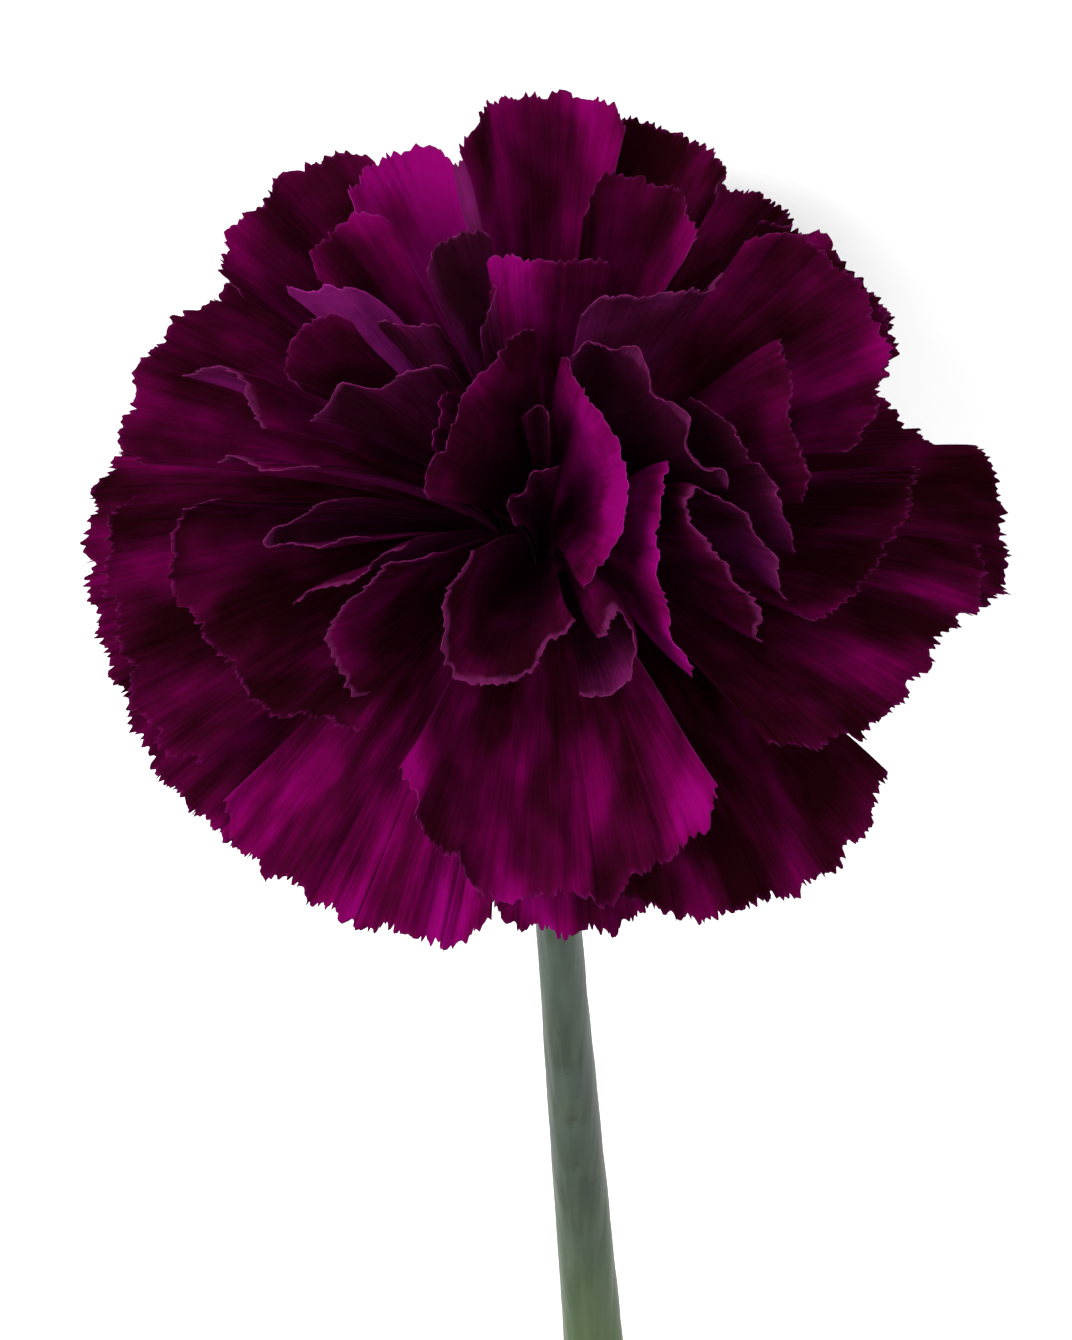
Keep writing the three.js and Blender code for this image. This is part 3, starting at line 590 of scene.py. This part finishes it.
def petal_material(name, stops, lip, gloss, sheen):
    made = bpy.data.materials.new(name)
    made.use_nodes = True
    tree = made.node_tree
    shader = tree.nodes["Principled BSDF"]
    own = add_node(tree, "ShaderNodeUVMap", uv_map="blade").outputs[0]
    climb = add_node(tree, "ShaderNodeAttribute", attribute_name="climb").outputs["Fac"]
    # Per-petal brightness: partly the petal's own colour, partly painted light and shade.
    tone_and_painted_light = add_node(tree, "ShaderNodeAttribute", attribute_name="tone_and_painted_light").outputs["Fac"]
    fine = streaks(tree, own, 16.0, 0.8)
    broad = streaks(tree, own, 1.25, 1.05, 2.2)
    patches = maths(tree, "MULTIPLY", maths(tree, "SUBTRACT", broad, 0.5), 1.35)
    lines = maths(tree, "MULTIPLY", maths(tree, "SUBTRACT", fine, 0.5), 0.36)
    factor = maths(tree, "ADD", tone_and_painted_light, maths(tree, "ADD", patches, lines))
    colour = colour_stops(tree, factor, stops)
    band = add_node(tree, "ShaderNodeAttribute", attribute_name="band").outputs["Fac"]
    # The mauve lip band: partly the paler turned face, partly painted grazing sheen.
    turned = blend_colours(tree, fine, (0.030, 0.003, 0.013, 1), (0.100, 0.010, 0.062, 1))
    colour = blend_colours(tree, maths(tree, "MULTIPLY", band, 0.8), colour, turned)
    pale = maths(tree, "MULTIPLY", ramp_up(tree, climb, 0.985, 1.0), ramp_up(tree, fine, 0.35, 0.8))
    colour = blend_colours(tree, pale, colour, (*lip, 1))
    colour = blend_colours(tree, ramp_up(tree, climb, 0.12, 0.0), colour, (0.030, 0.024, 0.014, 1))
    tree.links.new(colour, shader.inputs["Base Color"])
    where = add_node(tree, "ShaderNodeTexCoord").outputs["Object"]
    velvet = noise(tree, where, 5200.0, 1.0)
    veins = streaks(tree, own, 24.0, 0.7, 2.0)
    creases = streaks(tree, own, 5.0, 2.2, 2.0)
    height = maths(tree, "ADD", maths(tree, "MULTIPLY", veins, 0.35),
                   maths(tree, "MULTIPLY", velvet, 0.12))
    height = maths(tree, "ADD", height, creases)
    bump = add_node(tree, "ShaderNodeBump", {"Height": height, "Strength": 0.5, "Distance": 0.0006})
    tree.links.new(bump.outputs[0], shader.inputs["Normal"])
    rough = add_node(tree, "ShaderNodeMapRange", {0: fine, 3: 0.5, 4: 0.68})
    tree.links.new(rough.outputs[0], shader.inputs["Roughness"])
    shader.inputs["Specular IOR Level"].default_value = gloss
    shader.inputs["Specular Tint"].default_value = (1.0, 0.15, 0.75, 1)
    shader.inputs["Sheen Weight"].default_value = sheen
    shader.inputs["Sheen Roughness"].default_value = 0.4
    shader.inputs["Sheen Tint"].default_value = (0.70, 0.012, 0.36, 1)
    return made


velvet_face = petal_material(
    "velvet face of a petal",
    [(0.0, (0.008, 0.0005, 0.0018)), (0.25, (0.019, 0.0006, 0.0058)), (0.5, (0.040, 0.0004, 0.0155)),
     (0.75, (0.080, 0.0002, 0.034)), (1.0, (0.125, 0.0005, 0.066))],
    (0.060, 0.002, 0.032), 0.0, 0.05)
outer_face = petal_material(
    "paler outer face of a petal",
    [(0.0, (0.016, 0.0014, 0.0055)), (0.25, (0.030, 0.002, 0.013)), (0.5, (0.055, 0.003, 0.030)),
     (0.75, (0.092, 0.004, 0.058)), (1.0, (0.130, 0.006, 0.090))],
    (0.09, 0.008, 0.055), 0.02, 0.05)

# %% [markdown]
# ## The head
# With the rule, the bends and the finish in hand, the whole head is one loop. Each petal
# gets its own seed, so no two have the same pleats or teeth.
# %% All the petals
def make_petal(name, seed):
    blade = petal_grid(name, seed)
    blade["points"] = in_scene(blade["points"])
    spread = blade["climb"] * BLOOM_RADIUS * PETALS[name][0] + 40 * (seed % 7)
    mesh = sheet_mesh(name, blade, spread)
    guard = name.startswith("guard")
    made = run_tree(name + "_bloom", mesh, sheet_tree, {
        "Fringe depth": 0.0007 if guard else 0.0006, "Fringe pitch": 0.0012, "Ruffle": 0.0014,
        "Thickness": 0.00018, "Seed": float(seed),
        "Upper face": velvet_face, "Outer face": outer_face})
    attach(made, "root")
    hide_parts(name)
    return made


petals = [make_petal(name, seed) for seed, name in enumerate(PETALS, 3)]
print("petals:", len(petals), "faces:", sum(len(p.data.polygons) for p in petals))

# %% [markdown]
# ## Green tissue
# Stem, calyx, bracts and leaves share one skin: grey-green, with fine lengthwise veins,
# a pale waxy bloom that lies in patches, and a few small dark flecks. Only the tones
# and the way the veins are laid out differ, so one function makes all four finishes.
# Edges that dry out first, such as bract tips and the rims of the teeth, go straw pale.
# %% Green finishes
def green_material(name, dark, light, wax, dry, own=True):
    made = bpy.data.materials.new(name)
    made.use_nodes = True
    tree = made.node_tree
    shader = tree.nodes["Principled BSDF"]
    where = add_node(tree, "ShaderNodeTexCoord").outputs["Object"]
    if own:
        veins = streaks(tree, add_node(tree, "ShaderNodeUVMap", uv_map="blade").outputs[0], 13.0, 0.35)
    else:
        drawn = add_node(tree, "ShaderNodeMapping", {"Vector": where, "Scale": (1100.0, 26.0, 1100.0)})
        veins = noise(tree, drawn.outputs[0], 1.0, 2.0)
        towards_cut = add_node(tree, "ShaderNodeSeparateXYZ", {0: where}).outputs[1]
    colour = blend_colours(tree, ramp_up(tree, veins, 0.35, 0.66), (*dark, 1), (*light, 1))
    cloud = noise(tree, where, 130.0, 3.0)
    waxy = maths(tree, "MULTIPLY", ramp_up(tree, cloud, 0.42, 0.7), 0.55)
    colour = blend_colours(tree, waxy, colour, (*wax, 1))
    fleck = noise(tree, where, 620.0, 1.0)
    flecks = maths(tree, "MULTIPLY", ramp_up(tree, fleck, 0.70, 0.76), 0.6)
    colour = blend_colours(tree, flecks, colour, (0.020, 0.022, 0.012, 1))
    climb = add_node(tree, "ShaderNodeAttribute", attribute_name="climb").outputs["Fac"]
    if own:
        dried = ramp_up(tree, climb, 0.93, 1.0)
    else:
        dried = maths(tree, "MULTIPLY", ramp_up(tree, towards_cut, 0.002, 0.045), 0.7)
    colour = blend_colours(tree, dried, colour, (*dry, 1))
    tree.links.new(colour, shader.inputs["Base Color"])
    height = maths(tree, "ADD", veins, maths(tree, "MULTIPLY", cloud, 0.4))
    bump = add_node(tree, "ShaderNodeBump", {"Height": height, "Strength": 0.45, "Distance": 0.0002})
    tree.links.new(bump.outputs[0], shader.inputs["Normal"])
    rough = add_node(tree, "ShaderNodeMapRange", {0: cloud, 3: 0.38, 4: 0.62})
    tree.links.new(rough.outputs[0], shader.inputs["Roughness"])
    shader.inputs["Specular IOR Level"].default_value = 0.3
    return made


stem_skin = green_material("waxy stem skin", (0.019, 0.030, 0.019), (0.033, 0.048, 0.030),
                           (0.042, 0.060, 0.047), (0.056, 0.096, 0.026), own=False)
calyx_skin = green_material("calyx skin", (0.030, 0.050, 0.022), (0.062, 0.095, 0.042),
                            (0.085, 0.115, 0.085), (0.22, 0.19, 0.11))
bract_skin = green_material("bract skin", (0.040, 0.060, 0.026), (0.085, 0.115, 0.055),
                            (0.10, 0.13, 0.09), (0.24, 0.20, 0.12))
leaf_skin = green_material("leaf skin", (0.030, 0.048, 0.030), (0.060, 0.085, 0.055),
                           (0.10, 0.135, 0.12), (0.15, 0.15, 0.08))


def cut_material(centre):
    """Cut stem: a pale spongy pith, a ring of darker strands, and the green rind."""
    made = bpy.data.materials.new("freshly cut stem")
    made.use_nodes = True
    tree = made.node_tree
    shader = tree.nodes["Principled BSDF"]
    where = add_node(tree, "ShaderNodeTexCoord").outputs["Object"]
    apart = add_node(tree, "ShaderNodeVectorMath", {0: where, 1: tuple(centre)}, operation="DISTANCE")
    speck = noise(tree, where, 2600.0, 2.0)
    uneven = maths(tree, "MULTIPLY", maths(tree, "SUBTRACT", speck, 0.5), 0.3)
    radius = maths(tree, "ADD", maths(tree, "DIVIDE", apart.outputs["Value"], CUT_RADIUS / 1000), uneven)
    colour = colour_stops(tree, radius, [
        (0.0, (0.33, 0.37, 0.20)), (0.50, (0.26, 0.32, 0.15)), (0.66, (0.10, 0.15, 0.06)),
        (0.80, (0.20, 0.26, 0.12)), (0.95, (0.06, 0.09, 0.045))])
    tree.links.new(colour, shader.inputs["Base Color"])
    bump = add_node(tree, "ShaderNodeBump", {"Height": speck, "Strength": 0.6, "Distance": 0.0002})
    tree.links.new(bump.outputs[0], shader.inputs["Normal"])
    shader.inputs["Roughness"].default_value = 0.45
    return made


# %% [markdown]
# ## Stem
# The stem leaves the calyx along the flower's axis, bows down under its own weight and
# lies on the table at the cut, a little to one side. It thickens slowly towards the cut
# and swells at the node. A curve from a few handles gives the path, and a node tree
# sweeps a round section along it, scaled by the radius at each point, then raises faint
# ridges over the strands under the skin. The cut edge is rubbed very slightly round.
# %% The stem's path
STEM_LENGTH = 170.0
NECK_RADIUS = 1.7
CUT_RADIUS = 3.1
STEM_SWAY = 0.055
STEM_BOW = 0.05
NODE_FROM_CUT = 38.0
NODE_SWELL = 1.1
node_share = 1 - NODE_FROM_CUT / STEM_LENGTH
stem_foot = in_scene([0, 0, -CALYX_LENGTH], False) * 1000
cut_end = in_scene([STEM_SWAY * STEM_LENGTH, 0, -CALYX_LENGTH - STEM_LENGTH], False) * 1000
cut_end[2] = CUT_RADIUS
stem_bend = stem_foot + (STEM_BOW * ACROSS - AXIS) * STEM_LENGTH / 3
stem_flat = cut_end + (stem_foot - cut_end) / 3
handles = [stem_foot, stem_bend, stem_flat, cut_end]
t = np.linspace(0, 1, 400)[:, None]
weights = [(1 - t) ** 3, 3 * t * (1 - t) ** 2, 3 * t ** 2 * (1 - t), t ** 3]
stem_line = sum(weight * handle for weight, handle in zip(weights, handles))
stem_run = np.concatenate([[0], np.cumsum(np.linalg.norm(np.diff(stem_line, axis=0), axis=1))])


def stem_at(share):
    """Point and direction towards the cut, at a share of the stem's length."""
    place = np.clip(np.array([share - 0.003, share, share + 0.003]), 0, 1) * stem_run[-1]
    spots = [[np.interp(p, stem_run, stem_line[:, k]) for k in range(3)] for p in place]
    before, point, after = [np.array(spot) for spot in spots]
    return point, (after - before) / np.linalg.norm(after - before)


def stem_radius(share):
    swell = NODE_SWELL * math.exp(-(((share - node_share) * STEM_LENGTH) ** 2) / 9)
    return NECK_RADIUS + (CUT_RADIUS - NECK_RADIUS) * min(1, share / 0.6) + swell


path = [(in_scene([0, 0, above - CALYX_LENGTH], False) * 1000, radius)
        for above, radius in [(2.6, RECEPTACLE_RADIUS), (1.9, RECEPTACLE_RADIUS), (1.2, NECK_RADIUS)]]
path += [(stem_at(share)[0], stem_radius(share)) for share in np.linspace(0, 0.999, 170)]
path += [(stem_at(0.9996)[0], CUT_RADIUS - 0.05), (stem_at(1)[0], CUT_RADIUS - 0.2)]
print("stem from", (stem_foot / 1000).round(4), "to", (cut_end / 1000).round(4))

# %% The tree that sweeps the stem
stem_tree = bpy.data.node_groups.new("sweep a stem", "GeometryNodeTree")
STEM_INPUTS = {"Path": "NodeSocketGeometry", "Sides": "NodeSocketInt", "Ridges": "NodeSocketFloat",
               "Skin": "NodeSocketMaterial", "Cut": "NodeSocketMaterial"}
for socket_name, kind in STEM_INPUTS.items():
    stem_tree.interface.new_socket(socket_name, in_out="INPUT", socket_type=kind)
stem_tree.interface.new_socket("Stem", in_out="OUTPUT", socket_type="NodeSocketGeometry")


def build_stem_tree(tree):
    given = tree.nodes.new("NodeGroupInput").outputs
    line = add_node(tree, "GeometryNodeMeshToCurve", {"Mesh": given["Path"]}).outputs[0]
    ring = add_node(tree, "GeometryNodeCurvePrimitiveCircle",
                    {"Resolution": given["Sides"], "Radius": 1.0})
    swept = add_node(tree, "GeometryNodeCurveToMesh",
                     {"Curve": line, "Profile Curve": ring.outputs[0], "Scale": named(tree, "gauge"),
                      "Fill Caps": True}).outputs[0]
    spot = tree.nodes.new("GeometryNodeInputPosition").outputs[0]
    drawn = add_node(tree, "ShaderNodeVectorMath", {0: spot, 1: (1.0, 0.02, 1.0)}, operation="MULTIPLY")
    strands = add_node(tree, "ShaderNodeTexNoise",
                       {"Vector": drawn.outputs[0], "Scale": 900.0, "Detail": 1.0})
    raised = maths(tree, "MULTIPLY", maths(tree, "SUBTRACT", strands.outputs[0], 0.5), given["Ridges"])
    normal = tree.nodes.new("GeometryNodeInputNormal").outputs[0]
    offset = add_node(tree, "ShaderNodeVectorMath", {0: normal, "Scale": raised}, operation="SCALE")
    ridged = add_node(tree, "GeometryNodeSetPosition", {"Geometry": swept, "Offset": offset.outputs[0]})
    lengthways = add_node(tree, "ShaderNodeSeparateXYZ", {0: normal}).outputs[1]
    is_end = maths(tree, "GREATER_THAN", maths(tree, "ABSOLUTE", lengthways), 0.8)
    rounded = add_node(tree, "GeometryNodeSetShadeSmooth",
                       {"Geometry": ridged.outputs[0], "Shade Smooth": maths(tree, "LESS_THAN", is_end, 0.5)})
    real = add_node(tree, "GeometryNodeRealizeInstances", {"Geometry": rounded.outputs[0]})
    skin = add_node(tree, "GeometryNodeSetMaterial",
                    {"Geometry": real.outputs[0], "Material": given["Skin"]})
    ends = add_node(tree, "GeometryNodeSetMaterial",
                    {"Geometry": skin.outputs[0], "Material": given["Cut"], "Selection": is_end})
    tree.links.new(ends.outputs[0], tree.nodes.new("NodeGroupOutput").inputs[0])


build_stem_tree(stem_tree)
print("stem tree:", len(stem_tree.nodes), "nodes")

# %% The stem
path_mesh = bpy.data.meshes.new("stem_path")
steps = [(i, i + 1) for i in range(len(path) - 1)]
path_mesh.from_pydata([tuple(point / 1000) for point, _ in path], steps, [])
gauge = path_mesh.attributes.new("gauge", "FLOAT", "POINT")
gauge.data.foreach_set("value", [radius / 1000 for _, radius in path])
stem = run_tree("stem_bloom", path_mesh, stem_tree, {
    "Sides": 48, "Ridges": 0.0003, "Skin": stem_skin, "Cut": cut_material(cut_end / 1000)})
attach(stem, "root")
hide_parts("stem")
print("stem faces:", len(stem.data.polygons))

# %% [markdown]
# ## Calyx
# Five fused sepals make one leathery tube, which rounds out from the stem and ends in
# five pointed teeth that flare a little where the petals push them out. It is laid out
# as rings: up the outside, over the rim and down the inside. Each sepal has a middle
# vein, and a finer one on either side, which stand out as low ribs and fade upwards.
# %% Calyx
CALYX_WALL = 0.8
CALYX_TOOTH = 5.5
TOOTH_ABOVE = 1.5
CALYX_SHOULDER = 1.5
CALYX_TEETH = 5


def calyx_inner(height):
    """Inner radius of the calyx at a height above its foot."""
    foot = NECK_RADIUS + GAP
    tube = RECEPTACLE_RADIUS + 2 * GAP
    rim = MOUTH_RADIUS + 2 * GAP
    share = np.clip((height - CALYX_SHOULDER) / (CALYX_LENGTH - CALYX_SHOULDER), 0, 1)
    flare = 0.09 * np.maximum(0, height - CALYX_LENGTH + 1.5) ** 2
    low = np.clip(height / CALYX_SHOULDER, 0, 1)
    rounded = foot + (tube - foot) * np.sin(low * math.pi / 2) ** 0.8
    return np.where(height < CALYX_SHOULDER, rounded, tube + (rim - tube) * share ** 0.8 + flare)


def calyx_rings(rows=64, around=240):
    angle = np.arange(around) * 2 * math.pi / around
    to_tip = np.abs((angle / (2 * math.pi) * CALYX_TEETH) % 1 * 2 - 1)[None, :]
    top = CALYX_LENGTH + TOOTH_ABOVE - CALYX_TOOTH * (1 - to_tip ** 1.25)
    climb = np.linspace(0, 1, rows)[:, None] ** 0.85
    height = top * climb
    vein = np.exp(-((1 - to_tip) / 0.07) ** 2) + 0.6 * np.exp(-((to_tip - 0.5) / 0.06) ** 2)
    vein = vein + 0.35 * np.cos(angle * 60)[None, :] ** 2
    rib = 0.16 * vein * smooth(climb / 0.1) * (1 - 0.7 * smooth((climb - 0.5) / 0.5))
    wall = CALYX_WALL * (1 - 0.55 * smooth((climb - 0.7) / 0.3))
    radius = calyx_inner(height)
    grids = []
    for reach, lift in ((radius + wall + rib, 0.0), (radius, 0.4 * (climb == 0))):
        along = height + lift - CALYX_LENGTH
        grids.append(np.stack([np.cos(angle) * reach, np.sin(angle) * reach, along], -1))
    return grids[0], grids[1], climb * np.ones_like(top)


def closed_tube(name, outer, inner, climb, material):
    """A closed wall: up the outside, over the rim and down the inside."""
    ring = in_scene(np.vstack([outer, inner[::-1]]), False)
    rows, around = ring.shape[:2]
    number = np.arange(rows * around).reshape(rows, around)
    onward = np.roll(number, -1, axis=1)
    faces = np.stack([number, onward, np.roll(onward, -1, axis=0), np.roll(number, -1, axis=0)], -1)
    mesh = bpy.data.meshes.new(name)
    mesh.from_pydata(ring.reshape(-1, 3).tolist(), [], faces.reshape(-1, 4).tolist())
    both = np.vstack([climb, climb[::-1]])
    mesh.attributes.new("climb", "FLOAT", "POINT").data.foreach_set("value", both.astype("f").ravel())
    column = np.arange(around) * 2 * math.pi * MOUTH_RADIUS / around / 10
    flat = np.stack([np.tile(column, (rows, 1)), both * CALYX_LENGTH / 10], -1).reshape(-1, 2)
    lay_out(mesh, flat)
    mesh.shade_smooth()
    mesh.materials.append(material)
    made = bpy.data.objects.new(name, mesh)
    bpy.context.scene.collection.objects.link(made)
    return made


outer, inner, climb = calyx_rings()
calyx = closed_tube("calyx_bloom", outer, inner, climb, calyx_skin)
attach(calyx, "root")
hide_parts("calyx")
print("calyx faces:", len(calyx.data.polygons))

# %% [markdown]
# ## Bracts
# Two crossed pairs of short scales hug the foot of the calyx. Each is a shallow spoon
# that follows the calyx a fraction of a millimetre off it and runs out to a point. They
# are sheets like the petals, so the same finishing tree thickens them, with no teeth.
# %% Bracts
BRACT_LENGTH = 11.0
BRACT_THICK = 0.4


def make_bract(name, azimuth, layer):
    lift = GAP + layer * (BRACT_THICK + GAP)
    length = BRACT_LENGTH * (1 - 0.12 * layer)
    share = np.linspace(-0.04, 1, 40)[:, None]
    u = np.linspace(1, -1, 29)[None, :]
    above = np.maximum(share, 0)
    hugging = calyx_inner(np.maximum(length * share, 0.35)) + CALYX_WALL + lift
    keel = 0.25 * np.exp(-(u / 0.12) ** 2) * (1 - above)
    radius = hugging + keel + 0.12 * above ** 3 * np.cos(u * 7)
    angle = math.radians(azimuth) + u * (math.radians(76) * (1 - above ** 2.2) + math.radians(1.5))
    height = length * share - 0.6 * lift * (1 - smooth(share / 0.2)) - CALYX_LENGTH
    points = np.stack([radius * np.cos(angle), radius * np.sin(angle), height * np.ones_like(angle)], -1)
    climb = np.where(np.abs(u) < 0.97, above * np.ones_like(u), np.maximum(above, 0.96))
    blade = {"points": in_scene(points, False), "climb": climb, "across": u * 6 * np.ones_like(share)}
    mesh = sheet_mesh(name, blade, above * length * np.ones_like(u))
    made = run_tree(name + "_bloom", mesh, sheet_tree, {
        "Fringe depth": 0.0, "Fringe pitch": 0.002, "Ruffle": 0.0, "Thickness": BRACT_THICK / 1000,
        "Seed": float(layer), "Upper face": bract_skin, "Outer face": bract_skin})
    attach(made, "root")
    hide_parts(name)
    return made


bracts = [make_bract("bract_1", 0, 0), make_bract("bract_2", 180, 0)]
bracts += [make_bract("bract_3", 90, 1), make_bract("bract_4", 270, 1)]
print("bracts:", len(bracts))

# %% [markdown]
# ## Leaves
# The node carries one pair of narrow leaves. Each foot clasps the stem as a short
# sheath, then the blade opens into a shallow channel, tapers, and curls outwards and
# back. The spine is walked in small steps with a heading that keeps turning, and each
# row of the sheet is an arc across it. The finishing tree gives it its thickness.
# %% Leaves
LEAF_LENGTH = 62.0
LEAF_HALF_WIDTH = 2.8
LEAF_THICK = 0.6
LEAF_SHEATH = 7.0


def make_leaf(name, side):
    point, direction = stem_at(node_share)
    forward = -direction
    level = np.cross([0, 0, 1], forward)
    roll = Matrix.Rotation(math.radians(10), 3, Vector(forward))
    out = np.array(roll @ Vector(level / np.linalg.norm(level) * side))
    edge = np.cross(out, forward)
    sheath = CUT_RADIUS + NODE_SWELL + GAP + LEAF_THICK / 2
    steps = 140
    spine = point + forward + out * sheath
    u = np.linspace(-1, 1, 21)
    rows = []
    for along in np.linspace(0, LEAF_LENGTH, steps + 1):
        opened = float(smooth((along - LEAF_SHEATH / 2) / LEAF_SHEATH))
        turned = max(0, (along - LEAF_SHEATH) / (LEAF_LENGTH - LEAF_SHEATH))
        heading = math.radians(25) * opened + math.radians(95) * turned
        clasp = math.radians(80 - 52 * opened)
        taper = math.sqrt(max(0.004, 1 - (along / LEAF_LENGTH) ** 2.2))
        half = (sheath * math.radians(80) * (1 - opened) + LEAF_HALF_WIDTH * opened) * taper
        away = out * math.cos(heading) - forward * math.sin(heading)
        keel = 0.18 * np.exp(-(u / 0.1) ** 2) * opened
        angle = clasp * u
        arc = away * (half / clasp * (np.cos(angle) - 1) + keel)[:, None]
        arc = arc + edge * (half / clasp * np.sin(angle))[:, None]
        rows.append(spine + arc)
        spine = spine + (forward * math.cos(heading) + out * math.sin(heading)) * LEAF_LENGTH / steps
    points = np.array(rows) / 1000
    climb = np.linspace(0, 1, steps + 1)[:, None] * np.ones_like(u)
    blade = {"points": points, "climb": climb, "across": u * LEAF_HALF_WIDTH * np.ones_like(climb)}
    made = run_tree(name + "_bloom", sheet_mesh(name, blade, climb * LEAF_LENGTH), sheet_tree, {
        "Fringe depth": 0.0, "Fringe pitch": 0.002, "Ruffle": 0.0008, "Thickness": LEAF_THICK / 1000,
        "Seed": side * 3.0 + 5.0, "Upper face": leaf_skin, "Outer face": leaf_skin})
    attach(made, "root")
    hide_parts(name)
    return made


leaves = [make_leaf("leaf_1", 1), make_leaf("leaf_2", -1)]
print("leaves:", len(leaves), "faces each:", len(leaves[0].data.polygons))
